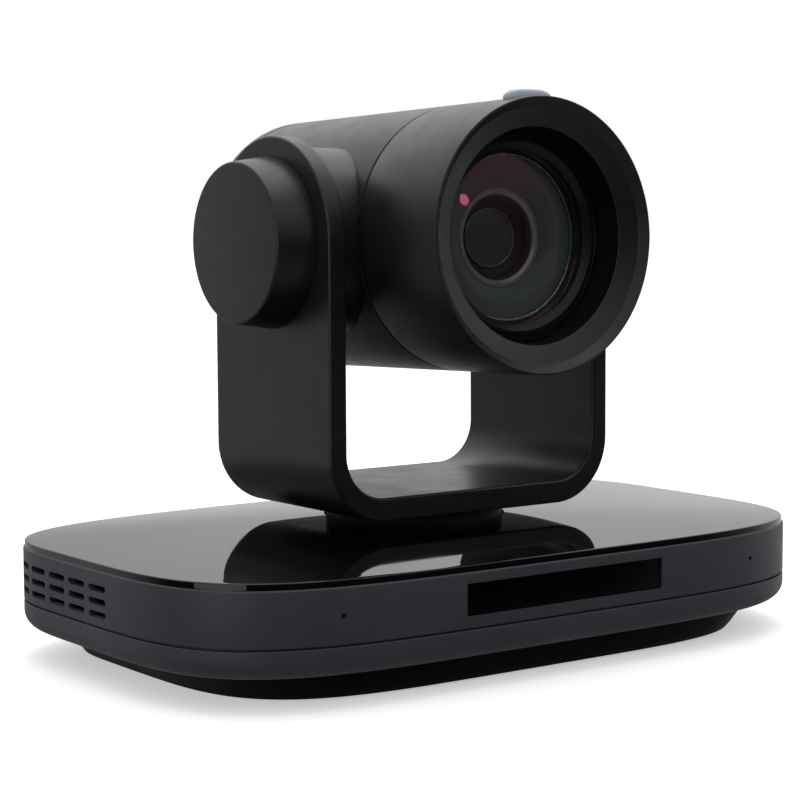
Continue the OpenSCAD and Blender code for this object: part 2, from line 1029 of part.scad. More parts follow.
module image_sensor() {
    color([0.12, 0.1, 0.2])
        along_lens()
            translate([-7, -5.5, rear_plate - 3])
                cube([14, 11, 2.8]);
}

module sensor_board() {
    color([0.05, 0.25, 0.14])
        along_lens()
            translate([-20, -18, rear_plate - 4.6])
                cube([40, 36, 1.6]);
}

// Clear blue lens of the signal light, set into a seat in the top of the barrel's front.
tally_w = 18;
tally_d = 6;
tally_at = head_front - 8.5;
tally_seat = barrel_r - 1.4;
tally_top = barrel_r + 2.6;

module tally_light() {
    color([0.6, 0.8, 0.95])
        along_lens()
            intersection() {
                translate([-tally_w / 2, tally_seat, tally_at - tally_d / 2])
                    cube([tally_w, 6, tally_d]);
                translate([0, tally_top - 35, tally_at - tally_d])
                    cylinder(r = 35, h = 2 * tally_d);
            }
}

module tilt_motor() {
    color([0.35, 0.36, 0.38])
        along_tilt_motor()
            difference() {
                translate([0, 0, motor_x - 15])
                    cylinder(r = 9, h = 15);
                translate([0, 0, motor_x - 5])
                    cylinder(r = 1.3, h = 6);
            }
}

module tilt_pinion() {
    color([0.9, 0.9, 0.86])
        along_tilt_motor()
            rotate([0, 0, 90 + 180 / tilt_pinion_teeth])
                union() {
                    translate([0, 0, gear_x])
                        gear(tilt_module, tilt_pinion_teeth, gear_face);
                    translate([0, 0, motor_x - 4])
                        cylinder(r = 1.25, h = gear_x - motor_x + 4 + eps);
                }
}

// Ring with two ears that slide on the guide rods.
module carrier(z, ring_r, hole_r, h) {
    along_lens()
        translate([0, 0, z])
            difference() {
                union() {
                    cylinder(r = ring_r, h = h);
                    translate([-rod_at - 3, -3, 0])
                        cube([2 * rod_at + 6, 6, h]);
                }
                translate([0, 0, -1])
                    cylinder(r = hole_r, h = h + 2);
                for (side = [-1, 1]) {
                    translate([side * rod_at, 0, -1])
                        cylinder(r = rod_r + running, h = h + 2);
                }
            }
}

zoom_z = 14;
focus_z = -16;

module zoom_carrier() {
    color(soft_black)
        carrier(zoom_z, 14, 11, 8);
}

module zoom_glass() {
    color([0.4, 0.4, 0.6, 0.5])
        along_lens()
            lens_element(11 - running, zoom_z + 2, zoom_z + 4, 0.8, 2);
}

module focus_carrier() {
    color(soft_black)
        carrier(focus_z, 12, 9, 6);
}

module focus_glass() {
    color([0.4, 0.4, 0.6, 0.5])
        along_lens()
            lens_element(9 - running, focus_z + 1.5, focus_z + 3.5, 1, 1.5);
}

foot_pads();
plinth();
tripod_insert();
lower_shell();
upper_band();
top_plate();
ir_window();
ir_receiver();
status_leds();
mic_capsules();
main_board();
board_chips();
heat_sink();
rear_panel();
dc_jack();
lan_jack();
usb_socket();
hdmi_socket();
serial_sockets();
deck_plate();
pan_bearing();
pan_motor();
base_screws();
yoke_frame();
turntable();
pan_shaft();
pan_gear();
pan_nut();
hub_cap_left();
hub_cap_right();
tilt_bush_left();
tilt_bush_right();
tilt_gear();
barrel_shell();
front_bezel();
rear_cover();
side_boss_left();
side_boss_right();
tilt_shaft_left();
tilt_shaft_right();
shaft_rings();
lens_frame();
guide_rods();
lens_tube();
front_retainer();
front_glass();
baffle_ring();
second_retainer();
second_glass();
third_glass();
image_sensor();
sensor_board();
tally_light();
tilt_motor();
pan_pinion();
tilt_pinion();
zoom_carrier();
zoom_glass();
focus_carrier();
focus_glass();
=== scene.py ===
"""Looks of the pan-tilt-zoom camera: refined shells, optics, sockets, materials, light and camera."""
import json
import math

import bmesh
import bpy
from mathutils import Matrix, Vector


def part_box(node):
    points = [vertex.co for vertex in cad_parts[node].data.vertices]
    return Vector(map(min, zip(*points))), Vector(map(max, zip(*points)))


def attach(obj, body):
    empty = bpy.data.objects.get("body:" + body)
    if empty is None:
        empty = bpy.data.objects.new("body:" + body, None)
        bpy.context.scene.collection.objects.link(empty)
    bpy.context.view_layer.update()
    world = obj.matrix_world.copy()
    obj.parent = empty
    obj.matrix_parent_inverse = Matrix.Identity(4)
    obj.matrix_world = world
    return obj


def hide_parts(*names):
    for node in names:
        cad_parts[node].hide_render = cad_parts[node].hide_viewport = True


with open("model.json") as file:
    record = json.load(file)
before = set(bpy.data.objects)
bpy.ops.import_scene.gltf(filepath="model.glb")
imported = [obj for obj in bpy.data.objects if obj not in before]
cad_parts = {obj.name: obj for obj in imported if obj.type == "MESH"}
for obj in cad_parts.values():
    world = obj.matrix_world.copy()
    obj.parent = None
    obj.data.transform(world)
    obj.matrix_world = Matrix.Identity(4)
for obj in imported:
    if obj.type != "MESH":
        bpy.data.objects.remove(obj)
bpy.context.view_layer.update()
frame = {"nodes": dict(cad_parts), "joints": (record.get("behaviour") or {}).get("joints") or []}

MM = 0.001
JOINTS = {joint["name"]: joint for joint in frame["joints"]}
TILT = Vector(JOINTS["tilt"]["pos_m"]) / MM
PAN = Vector(JOINTS["pan"]["pos_m"]) / MM
SLIDE = Vector(JOINTS["zoom_slide"]["axis"])
LENS_UP = math.atan2(-SLIDE.z, SLIDE.y)
LENS_AXIS = Matrix.Translation(TILT) @ Matrix.Rotation(math.radians(90) - LENS_UP, 4, "X")


def node_box(node):
    """A CAD node's lowest and highest corners, in millimetres."""
    low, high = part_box(node)
    return Vector(low) / MM, Vector(high) / MM


def bore(name, radius, start, end, place):
    """Round cutting tool along the frame's +Z."""
    return lathe(name, [(radius, start), (radius, end)], place, closed=False, segments=96)


def tilt_axis(side):
    """Frame whose +Z runs out along the tilt axis, to the right for side 1."""
    return Matrix.Translation(TILT) @ Matrix.Rotation(math.radians(90 * side), 4, "Y")


# ---------------------------------------------------------------- geometry helpers


def fillet(corners, closed=True, steps=6):
    """Outline through (x, y) or (x, y, radius) corners, with an arc at each corner that has a radius."""
    count = len(corners)
    out = []
    for i, corner in enumerate(corners):
        p = Vector(corner[:2])
        radius = corner[2] if len(corner) > 2 else 0
        if radius <= 0 or (not closed and i in (0, count - 1)):
            out.append(tuple(p))
            continue
        a = Vector(corners[i - 1][:2]) - p
        b = Vector(corners[(i + 1) % count][:2]) - p
        half = a.angle(b) / 2
        reach = min(radius / math.tan(half), 0.49 * a.length, 0.49 * b.length)
        radius = reach * math.tan(half)
        centre = p + (a.normalized() + b.normalized()).normalized() * radius / math.sin(half)
        start = p + a.normalized() * reach - centre
        end = p + b.normalized() * reach - centre
        turn = math.atan2(start.x * end.y - start.y * end.x, start.dot(end))
        for k in range(steps + 1):
            out.append(tuple(centre + Matrix.Rotation(turn * k / steps, 2) @ start))
    return out


def finish_mesh(name, mesh_data, place, sharp=32):
    """Object from a bmesh in millimetres, placed in the frame, with smooth faces and sharp edges kept."""
    bmesh.ops.remove_doubles(mesh_data, verts=mesh_data.verts, dist=1e-5)
    bmesh.ops.recalc_face_normals(mesh_data, faces=mesh_data.faces)
    mesh = bpy.data.meshes.new(name)
    mesh_data.to_mesh(mesh)
    mesh_data.free()
    mesh.transform(Matrix.Scale(MM, 4) @ place)
    obj = bpy.data.objects.new(name, mesh)
    bpy.context.scene.collection.objects.link(obj)
    smooth(obj, sharp)
    return obj


def smooth(obj, sharp=32):
    """Smooth shading everywhere, with edges sharper than the given angle left crisp."""
    work = bmesh.new()
    work.from_mesh(obj.data)
    for face in work.faces:
        face.smooth = True
    for edge in work.edges:
        edge.smooth = len(edge.link_faces) == 2 and edge.calc_face_angle(0) < math.radians(sharp)
    work.to_mesh(obj.data)
    work.free()


def lathe(name, path, place, closed=True, segments=192, sharp=32):
    """Turned piece: path is (radius, height) points; an open path ends on the axis or in a flat cap."""
    work = bmesh.new()
    rings = []
    for radius, height in path:
        if radius < 1e-6:
            rings.append([work.verts.new((0, 0, height))])
            continue
        ring = []
        for k in range(segments):
            a = 2 * math.pi * k / segments
            ring.append(work.verts.new((radius * math.cos(a), radius * math.sin(a), height)))
        rings.append(ring)
    pairs = list(zip(rings, rings[1:] + rings[:1])) if closed else list(zip(rings, rings[1:]))
    for lower, upper in pairs:
        bridge(work, lower, upper)
    if not closed:
        for ring in (rings[0], rings[-1]):
            if len(ring) > 1:
                work.faces.new(ring)
    return finish_mesh(name, work, place, sharp)


def bridge(work, lower, upper):
    """Faces between two rings of verts, either of which may be a single point."""
    count = max(len(lower), len(upper))
    for k in range(count):
        corners = []
        for ring, at in ((lower, k), (lower, k + 1), (upper, k + 1), (upper, k)):
            vert = ring[at % len(ring)]
            if vert not in corners:
                corners.append(vert)
        if len(corners) > 2:
            work.faces.new(corners)


def skin(name, rings, closed, place=Matrix(), sharp=32):
    """Surface through rings of points; not closed adds a flat cap at each end."""
    work = bmesh.new()
    made = [[work.verts.new(p) for p in ring] for ring in rings]
    for lower, upper in zip(made, made[1:]):
        bridge(work, lower, upper)
    if closed:
        bridge(work, made[-1], made[0])
    else:
        work.faces.new(made[0])
        work.faces.new(made[-1])
    return finish_mesh(name, work, place, sharp)


def prism(name, outline, low, high, place=Matrix()):
    """Flat outline in XY, drawn out from low to high along Z."""
    rings = [[(x, y, z) for x, y in outline] for z in (low, high)]
    return skin(name, rings, False, place)


def block(name, low, high, radius):
    """Box with every edge rounded, between two corners in millimetres."""
    size = [b - a for a, b in zip(low, high)]
    middle = [(a + b) / 2 for a, b in zip(low, high)]
    work = bmesh.new()
    bmesh.ops.create_cube(work, size=1)
    for vert in work.verts:
        vert.co = Vector([middle[i] + vert.co[i] * size[i] for i in range(3)])
    radius = min(radius, 0.45 * min(size))
    bmesh.ops.bevel(work, geom=list(work.edges), offset=radius, segments=3, profile=0.5, affect="EDGES")
    return finish_mesh(name, work, Matrix())


def slot_outline(length, height, steps=10):
    """Stadium outline, centred on the origin."""
    r = height / 2
    half = length / 2 - r
    right = [(half + r * math.cos(a), r * math.sin(a)) for a in arc_angles(-90, 90, steps)]
    left = [(-half + r * math.cos(a), r * math.sin(a)) for a in arc_angles(90, 270, steps)]
    return right + left


def arc_angles(start, end, steps):
    return [math.radians(start + (end - start) * k / steps) for k in range(steps + 1)]


def boolean(obj, tools, operation="DIFFERENCE"):
    """Cuts the tools out of obj, or keeps what they share, then removes the tools."""
    for tool in tools:
        modifier = obj.modifiers.new("cut", "BOOLEAN")
        modifier.operation = operation
        modifier.solver = "EXACT"
        modifier.object = tool
    apply_modifiers(obj)
    for tool in tools:
        mesh = tool.data
        bpy.data.objects.remove(tool)
        bpy.data.meshes.remove(mesh)


def apply_modifiers(obj):
    """Bakes the modifiers into the mesh."""
    graph = bpy.context.evaluated_depsgraph_get()
    mesh = bpy.data.meshes.new_from_object(obj.evaluated_get(graph))
    old = obj.data
    obj.modifiers.clear()
    obj.data = mesh
    bpy.data.meshes.remove(old)


def round_edges(obj, width, segments=3, angle=40):
    """Small rounding on every edge sharper than the angle, with flat faces kept flat."""
    modifier = obj.modifiers.new("round", "BEVEL")
    modifier.width = width * MM
    modifier.segments = segments
    modifier.limit_method = "ANGLE"
    modifier.angle_limit = math.radians(angle)
    modifier.miter_outer = "MITER_ARC"
    apply_modifiers(obj)
    smooth(obj, 50)
    weights = obj.modifiers.new("weights", "WEIGHTED_NORMAL")
    weights.keep_sharp = True
    weights.weight = 80
    apply_modifiers(obj)


def join(name, pieces):
    """Puts several meshes that all stand at the origin into one object."""
    work = bmesh.new()
    for piece in pieces:
        work.from_mesh(piece.data)
    mesh = bpy.data.meshes.new(name)
    work.to_mesh(mesh)
    work.free()
    for piece in pieces:
        old = piece.data
        bpy.data.objects.remove(piece)
        bpy.data.meshes.remove(old)
    obj = bpy.data.objects.new(name, mesh)
    bpy.context.scene.collection.objects.link(obj)
    return obj


def place_piece(obj, material, body, replaces=()):
    """Gives a piece its material, the body it rides on and the nodes that it stands for."""
    obj.data.materials.clear()
    obj.data.materials.append(material)
    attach(obj, body)
    if replaces:
        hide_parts(*replaces)
    return obj


# ---------------------------------------------------------------- materials


class Nodes:
    """Short way to build a node material around one Principled shader."""

    def __init__(self, name, colour, roughness, **sockets):
        self.material = bpy.data.materials.new(name)
        self.material.use_nodes = True
        self.tree = self.material.node_tree
        self.shader = self.tree.nodes["Principled BSDF"]
        self.set("Base Color", (*colour, 1))
        self.set("Roughness", roughness)
        for socket, value in sockets.items():
            self.set(socket.replace("_", " "), value)
        self.coordinates = self.tree.nodes.new("ShaderNodeTexCoord").outputs["Object"]

    def set(self, socket, value):
        self.shader.inputs[socket].default_value = value

    def link(self, a, b):
        self.tree.links.new(a, b)

    def mapped(self, stretch):
        """Object coordinates scaled by a different number along each axis."""
        node = self.tree.nodes.new("ShaderNodeMapping")
        node.inputs["Scale"].default_value = stretch
        self.link(self.coordinates, node.inputs["Vector"])
        return node.outputs["Vector"]

    def noise(self, scale, detail=3, roughness=0.5, stretch=None):
        node = self.tree.nodes.new("ShaderNodeTexNoise")
        node.inputs["Scale"].default_value = scale
        node.inputs["Detail"].default_value = detail
        node.inputs["Roughness"].default_value = roughness
        self.link(self.mapped(stretch) if stretch else self.coordinates, node.inputs["Vector"])
        return node.outputs["Fac"]

    def cells(self, scale, feature="F1", stretch=None):
        node = self.tree.nodes.new("ShaderNodeTexVoronoi")
        node.feature = feature
        node.inputs["Scale"].default_value = scale
        self.link(self.mapped(stretch) if stretch else self.coordinates, node.inputs["Vector"])
        return node.outputs["Distance"]

    def spread(self, value, low, high, start=0.3, end=0.7):
        """Maps a texture's range onto low..high."""
        node = self.tree.nodes.new("ShaderNodeMapRange")
        for socket, number in zip(("From Min", "From Max", "To Min", "To Max"), (start, end, low, high)):
            node.inputs[socket].default_value = number
        self.link(value, node.inputs["Value"])
        return node.outputs["Result"]

    def colours(self, value, stops):
        """Colour ramp through (position, colour) stops into the base colour."""
        node = self.tree.nodes.new("ShaderNodeValToRGB")
        ramp = node.color_ramp
        while len(ramp.elements) < len(stops):
            ramp.elements.new(0.5)
        for element, (position, colour) in zip(ramp.elements, stops):
            element.position = position
            element.color = (*colour, 1)
        self.link(value, node.inputs["Fac"])
        self.link(node.outputs["Color"], self.shader.inputs["Base Color"])
        return node.outputs["Color"]

    def rough(self, value, low, high, start=0.3, end=0.7):
        self.link(self.spread(value, low, high, start, end), self.shader.inputs["Roughness"])

    def bump(self, *layers):
        """Stacks bumps: each layer is (height, strength, distance in millimetres)."""
        normal = None
        for height, strength, distance in layers:
            node = self.tree.nodes.new("ShaderNodeBump")
            node.inputs["Strength"].default_value = strength
            node.inputs["Distance"].default_value = distance * MM
            self.link(height, node.inputs["Height"])
            if normal:
                self.link(normal, node.inputs["Normal"])
            normal = node.outputs["Normal"]
        self.link(normal, self.shader.inputs["Normal"])


def shade(colour, factor):
    return tuple(c * factor for c in colour)


def moulded(name, colour, roughness, grain=0.35, grain_size=0.32, variation=0.12, **sockets):
    """Moulded plastic: spark-eroded grain, faint flow marks and handling polish."""
    m = Nodes(name, colour, roughness, **sockets)
    flow = m.noise(22, 4, 0.6)
    m.colours(flow, [(0.25, shade(colour, 1 - variation)), (0.75, shade(colour, 1 + variation))])
    m.rough(m.noise(70, 5, 0.65), roughness - 0.05, roughness + 0.06)
    m.bump((m.cells(1000 / grain_size), grain, 0.03), (m.noise(1500 / grain_size, 2), grain * 0.7, 0.02),
        (m.noise(45, 2), 0.12, 0.05))
    return m.material


def polished(name, colour, roughness, **sockets):
    """Polished plastic or acrylic: hairline scratches, smears and a few specks of dust."""
    m = Nodes(name, colour, roughness, **sockets)
    m.colours(m.cells(310), [(0.0, shade(colour, 9)), (0.035, shade(colour, 2.5)), (0.06, colour)])
    m.rough(m.noise(26, 6, 0.7), roughness, roughness + 0.045, 0.42, 0.75)
    m.bump((m.noise(600, 2, 0.5, (1, 0.04, 1)), 0.02, 0.004), (m.noise(14, 1), 0.03, 0.02))
    return m.material


def brushed(name, colour, roughness, stretch, **sockets):
    """Turned or drawn metal with fine lines that run across the stretched axis."""
    m = Nodes(name, colour, roughness, Metallic=1.0, **sockets)
    lines = m.noise(900, 3, 0.6, stretch)
    m.colours(m.noise(60, 4), [(0.3, shade(colour, 0.82)), (0.7, colour)])
    m.rough(lines, roughness - 0.08, roughness + 0.12)
    m.bump((lines, 0.25, 0.01))
    return m.material


def optical(name, tint, film, clear=1.0, **sockets):
    """Coated glass: clear or partly milky, with a film in nanometres and the faintest dust."""
    m = Nodes(name, tint, 0.0, Transmission_Weight=clear, IOR=1.52, Thin_Film_IOR=1.38, **sockets)
    m.set("Thin Film Thickness", film)
    m.colours(m.cells(420), [(0.0, shade(tint, 0.8)), (0.03, tint)])
    m.rough(m.noise(120, 5, 0.7), 0.0, 0.02, 0.5, 0.8)
    return m.material


def circuit_board(name):
    """Solder mask with buried tracks and small pads."""
    m = Nodes(name, (0.01, 0.09, 0.045), 0.35)
    tracks = m.cells(260, "F2", (1, 1, 0.01))
    m.colours(tracks, [(0.38, (0.006, 0.05, 0.025)), (0.42, (0.012, 0.12, 0.06)),
        (0.9, (0.010, 0.09, 0.045)), (0.96, (0.5, 0.42, 0.2))])
    m.bump((tracks, 0.3, 0.03))
    return m.material


case_plastic = moulded("case_plastic", (0.0105, 0.0105, 0.0148), 0.36, grain=0.2)
band_plastic = moulded("band_plastic", (0.05, 0.051, 0.067), 0.5, grain=0.3)
plinth_plastic = moulded("plinth_plastic", (0.0018, 0.0018, 0.002), 0.55, grain=0.4, Specular_IOR_Level=0.08)
matte_black = moulded("matte_black", (0.006, 0.006, 0.007), 0.6, grain=0.5, Specular_IOR_Level=0.3)
socket_black = moulded("socket_black", (0.01, 0.01, 0.011), 0.5)
lens_black = moulded("lens_black", (0.008, 0.008, 0.009), 0.5, grain=0.2, grain_size=0.15)
# Black lining made darker and duller than the case: the extra darkness is painted shade inside the bore.
bore_painted_shade = moulded("bore_painted_shade", (0.002, 0.002, 0.0022), 0.6, grain=0.3, Specular_IOR_Level=0.08)
funnel_grey = moulded("funnel_grey", (0.12, 0.132, 0.134), 0.32, grain=0.25, grain_size=0.15)
# Grey ring with a painted pink tint: the pink stands in for light reflected pink by the lens coatings, while
# the grey is the ring's own colour.
retainer_grey_painted_pink = moulded("retainer_grey_painted_pink", (0.4, 0.31, 0.35), 0.32, grain=0.15, grain_size=0.15, Metallic=0.3)
lens_ring_grey = moulded("lens_ring_grey", (0.005, 0.0052, 0.006), 0.3, grain=0.1, grain_size=0.15,
    Specular_IOR_Level=0.3)
plate_gloss = polished("plate_gloss", (0.0025, 0.0025, 0.003), 0.025, IOR=1.5)
window_gloss = polished("window_gloss", (0.0012, 0.0009, 0.0014), 0.1, Specular_IOR_Level=0.12)
rubber = moulded("foot_rubber", (0.012, 0.012, 0.012), 0.78, grain=0.7, grain_size=0.5)
gear_acetal = moulded("gear_acetal", (0.62, 0.6, 0.53), 0.4, grain=0.1, variation=0.04)
turned_steel = brushed("turned_steel", (0.56, 0.56, 0.57), 0.28, (1, 1, 0.03))
seat_metal = brushed("seat_metal", (0.3, 0.29, 0.29), 0.3, (1, 1, 0.03))
plated_steel = brushed("plated_steel", (0.62, 0.62, 0.61), 0.26, (0.05, 1, 1))
sheet_steel = brushed("sheet_steel", (0.5, 0.51, 0.53), 0.34, (0.04, 1, 1))
dark_steel = brushed("dark_steel", (0.06, 0.06, 0.065), 0.4, (1, 1, 0.05))
aluminium = brushed("sink_aluminium", (0.6, 0.61, 0.63), 0.36, (1, 0.05, 1))
brass = brushed("insert_brass", (0.66, 0.46, 0.18), 0.3, (1, 1, 0.03))
gold = brushed("contact_gold", (0.83, 0.6, 0.22), 0.25, (0.1, 1, 1))
cast_black = moulded("cast_black", (0.016, 0.016, 0.018), 0.48, grain=0.6, grain_size=0.6)
chip_black = moulded("chip_black", (0.012, 0.012, 0.013), 0.55, grain=0.4, grain_size=0.25)
board_green = circuit_board("board_green")
front_coating = optical("front_coating", (0.95, 0.98, 0.97), 0, Specular_Tint=(1.0, 0.16, 0.34, 1.0))
inner_coating = optical("inner_coating", (0.93, 0.96, 1.0), 112)
rear_coating = optical("rear_coating", (0.5, 0.43, 0.37), 80, clear=0.55)
sensor_dark = polished("sensor_dark", (0.02, 0.012, 0.05), 0.08)
tally_plastic = moulded("tally_plastic", (0.52, 0.64, 0.74), 0.3, grain=0.1, variation=0.05,
    Transmission_Weight=0.35, Subsurface_Weight=0.3)
led_diffuse = moulded("led_diffuse", (0.2, 0.5, 0.22), 0.3, grain=0.1, Transmission_Weight=0.3)

CAD_MATERIALS = {
    "tripod_insert": brass, "ir_receiver": socket_black, "status_leds": led_diffuse,
    "mic_capsules": aluminium, "main_board": board_green, "board_chips": chip_black,
    "heat_sink": aluminium, "rear_panel": socket_black, "dc_jack": socket_black,
    "lan_jack": plated_steel, "usb_socket": plated_steel, "hdmi_socket": plated_steel,
    "serial_sockets": socket_black, "deck_plate": sheet_steel, "pan_bearing": turned_steel,
    "pan_motor": dark_steel, "base_screws": turned_steel, "turntable": matte_black,
    "pan_shaft": turned_steel, "pan_gear": gear_acetal, "pan_nut": turned_steel,
    "tilt_bush_left": brass, "tilt_bush_right": brass, "tilt_gear": gear_acetal,
    "side_boss_left": case_plastic, "side_boss_right": case_plastic,
    "tilt_shaft_left": turned_steel, "tilt_shaft_right": turned_steel, "shaft_rings": turned_steel,
    "lens_frame": cast_black, "guide_rods": turned_steel, "lens_tube": lens_black,
    "image_sensor": sensor_dark, "sensor_board": board_green, "tilt_motor": dark_steel,
    "pan_pinion": gear_acetal, "tilt_pinion": gear_acetal, "zoom_carrier": lens_black,
    "zoom_glass": inner_coating, "focus_carrier": lens_black, "focus_glass": inner_coating,
}
for node, material in CAD_MATERIALS.items():
    obj = frame["nodes"][node]
    for material_slot in obj.material_slots:
        material_slot.material = material


# ---------------------------------------------------------------- base

FRONT_DEPTH = 100.5
REAR_DEPTH = 59.5
FRONT_POWER = 4.6
REAR_POWER = 3.5
WALL = 2.4
WINDOW_HALF = 40.3
WINDOW_FOOT = 23.2
WINDOW_TOP = 33.4
MIC_X = 83.8
MIC_Z = 28.1
SLOT_L = 10.6
SLOT_H = 2.0
SLOT_START = -12.5
SLOT_Z = 27.3
SLOT_PITCH = 13.5
ROW_PITCH = 4.1
PLINTH_SIDE = 20
PLINTH_FRONT = 12
PLINTH_REAR = 9
PLINTH_BEVEL = 1.4
PLINTH_FLARE = 9.5
PLINTH_LEAN = 2.5
BRACKET_AT = 35
FOOT_X = 78
FOOT_Y = 38
SCREW_X = 96
SCREW_Y = 30
SCREW_MIDDLE_Y = 6
PANEL_SCREW_X = 65.2
PANEL_SCREW_Z = 28.6
band_low, band_high = node_box("upper_band")
half_w = band_high.x
widest_y = band_high.y - REAR_DEPTH
shell_low, shell_high = node_box("lower_shell")
plate_low, plate_high = node_box("top_plate")


def plan(inset, grow=1.0, count=288):
    """Outline of the base: two half superellipses that meet at the widest line."""
    points = []
    for k in range(count):
        t = 2 * math.pi * k / count
        back = math.sin(t) > 0
        depth = (REAR_DEPTH if back else FRONT_DEPTH) - inset
        power = 2 / (REAR_POWER if back else FRONT_POWER)
        x = math.copysign(abs(math.cos(t)) ** power, math.cos(t)) * (half_w - inset)
        y = math.copysign(abs(math.sin(t)) ** power, math.sin(t)) * depth
        points.append((grow * x, grow * (widest_y + y)))
    return points


def swept(name, path, closed):
    """Shell whose wall follows the base's outline: path is (inset, height) points."""
    rings = [[(x, y, z) for x, y in plan(inset)] for inset, z in path]
    return skin(name, rings, closed)


def build_band():
    top, foot = band_high.z, band_low.z
    path = fillet([(0, foot, 0.35), (0, top, 0.7), (WALL, top, 0.2), (WALL, foot + 3.2),
        (0.9, foot + 3.2), (0.9, foot)], steps=5)
    band = swept("upper_band_shell", path, True)
    window_low, window_high = node_box("ir_window")
    opening = fillet([(-WINDOW_HALF, WINDOW_FOOT, 0.5), (WINDOW_HALF, WINDOW_FOOT, 0.5),
        (WINDOW_HALF, WINDOW_TOP, 0.5), (-WINDOW_HALF, WINDOW_TOP, 0.5)])
    facing = Matrix.Translation((0, window_low.y - 6, 0)) @ Matrix.Rotation(math.radians(90), 4, "X")
    tools = [prism("window_cut", opening, -14, 6, facing)]
    for side in (-1, 1):
        tools.append(lathe("mic_cut", [(0.8, -16), (0.8, 5)],
            Matrix.Translation((side * MIC_X, window_low.y - 2, MIC_Z))
            @ Matrix.Rotation(math.radians(90), 4, "X"), closed=False, segments=32))
    for side in (-1, 1):
        for row in (-1, 0, 1):
            for k in range(5):
                spot = Matrix.Translation((side * half_w, SLOT_START + SLOT_L / 2 + SLOT_PITCH * k,
                    SLOT_Z + ROW_PITCH * row))
                turn = Matrix.Rotation(math.radians(90), 4, "X") @ Matrix.Rotation(math.radians(90), 4, "Y")
                tools.append(prism("slot_cut", slot_outline(SLOT_L, SLOT_H), -14, 14, spot @ turn))
    rear = fillet([(-69, 22.2, 1.2), (69, 22.2, 1.2), (69, 34.8, 1.2), (-69, 34.8, 1.2)])
    tools.append(prism("rear_cut", rear, -6, 8,
        Matrix.Translation((0, band_high.y, 0)) @ Matrix.Rotation(math.radians(90), 4, "X")))
    boolean(band, [join("cuts", tools)])
    smooth(band, 28)
    return place_piece(band, band_plastic, "base", ["upper_band"])


def build_lower_shell():
    foot, seam = shell_low.z, band_low.z - 0.6
    bulge = [(5.6 - 5.6 * math.cos(t), foot + 6.2 - 6.2 * math.sin(t)) for t in arc_angles(90, 0, 14)]
    path = bulge + fillet([(0, foot + 6.2), (0, seam, 0.35), (1.2, seam), (1.2, shell_high.z, 0.2),
        (WALL, shell_high.z, 0.2), (WALL, foot + WALL)], closed=False)[1:]
    shell = swept("lower_shell_tray", path, False)
    return place_piece(shell, band_plastic, "base", ["lower_shell"])


def plinth_ring(side, front, rear, z, count=288):
    """Outline of the plinth, which is cut in further at the sides than at the front and rear."""
    points = []
    for k in range(count):
        t = 2 * math.pi * k / count
        back = math.sin(t) > 0
        depth = REAR_DEPTH - rear if back else FRONT_DEPTH - front
        power = 2 / (REAR_POWER if back else FRONT_POWER)
        points.append((math.copysign(abs(math.cos(t)) ** power, math.cos(t)) * (half_w - side),
            widest_y + math.copysign(abs(math.sin(t)) ** power, math.sin(t)) * depth, z))
    return points


def build_plinth():
    low, high = node_box("plinth")
    rings = []
    edge = fillet([(PLINTH_BEVEL, low.z), (0, low.z, 0.4), (-PLINTH_BEVEL, low.z + 2.0, 1.0)], closed=False)
    for inset, z in edge[1:]:
        rings.append(plinth_ring(PLINTH_SIDE + inset, PLINTH_FRONT + inset, PLINTH_REAR + inset / 2, z))
    rings.append(plinth_ring(PLINTH_SIDE - PLINTH_FLARE, PLINTH_FRONT - PLINTH_LEAN,
        PLINTH_REAR - PLINTH_LEAN, high.z))
    plinth = skin("plinth_tray", rings, False)
    tools = []
    for x, y, radius, depth in [(0, 0, 5.05, 9.0)] + [
            (sx * BRACKET_AT, sy * BRACKET_AT, 1.7, 7) for sx in (-1, 1) for sy in (-1, 1)] + [
            (sx * SCREW_X, SCREW_MIDDLE_Y + sy * SCREW_Y, 3.2, 4) for sx in (-1, 1) for sy in (-1, 1)] + [
            (sx * FOOT_X, sy * FOOT_Y, 8.3, 2.1) for sx in (-1, 1) for sy in (-1, 1)]:
        tools.append(lathe("hole", [(radius, -3), (radius, depth)], Matrix.Translation((x, y, 0)),
            closed=False, segments=64))
    boolean(plinth, [join("holes", tools)])
    smooth(plinth, 32)
    return place_piece(plinth, plinth_plastic, "base", ["plinth"])


def build_feet():
    low, high = node_box("foot_pads")
    path = fillet([(0, low.z), (8, low.z, 0.5), (8, high.z, 0.1), (0, high.z)], closed=False)
    groove = [(0, low.z), (2.2, low.z), (2.5, low.z + 0.3), (2.8, low.z)] + path[1:]
    pads = [lathe("foot", groove, Matrix.Translation((sx * FOOT_X, sy * FOOT_Y, 0)), closed=False, segments=96)
        for sx in (-1, 1) for sy in (-1, 1)]
    feet = join("foot_pads_turned", pads)
    return place_piece(feet, rubber, "base", ["foot_pads"])


def build_top_plate():
    edge_top = plate_low.z + 2.1
    crown = 4.0
    under = 2.0

    def ring(inset, grow, z):
        return [(x, y, z) for x, y in plan(inset, grow, count=360)]

    steps = 34
    shrink = [1 - 0.86 * k / steps for k in range(1, steps + 1)]
    rim = fillet([(0.5, plate_low.z, 0.2), (0.5, edge_top, 0.5), (1.6, edge_top + 0.12)], closed=False)
    rings = [ring(0.5 + under, 1, plate_low.z)]
    rings += [ring(inset, 1, z) for inset, z in rim]
    rings += [ring(0.5, g, edge_top + crown * (1 - g * g)) for g in shrink if g < 0.985]
    inner = [ring(0.5, g, edge_top - under + crown * (1 - g * g)) for g in reversed(shrink) if g < 0.96]
    plate = skin("top_plate_dome", rings + inner, True, sharp=28)
    core = lathe("core", [(0, -20), (31.2, -20), (31.2, 20), (0, 20)],
        Matrix.Translation((PAN.x, PAN.y, edge_top)), closed=False)
    boolean(plate, [core])
    smooth(plate, 28)
    return place_piece(plate, plate_gloss, "base", ["top_plate"])


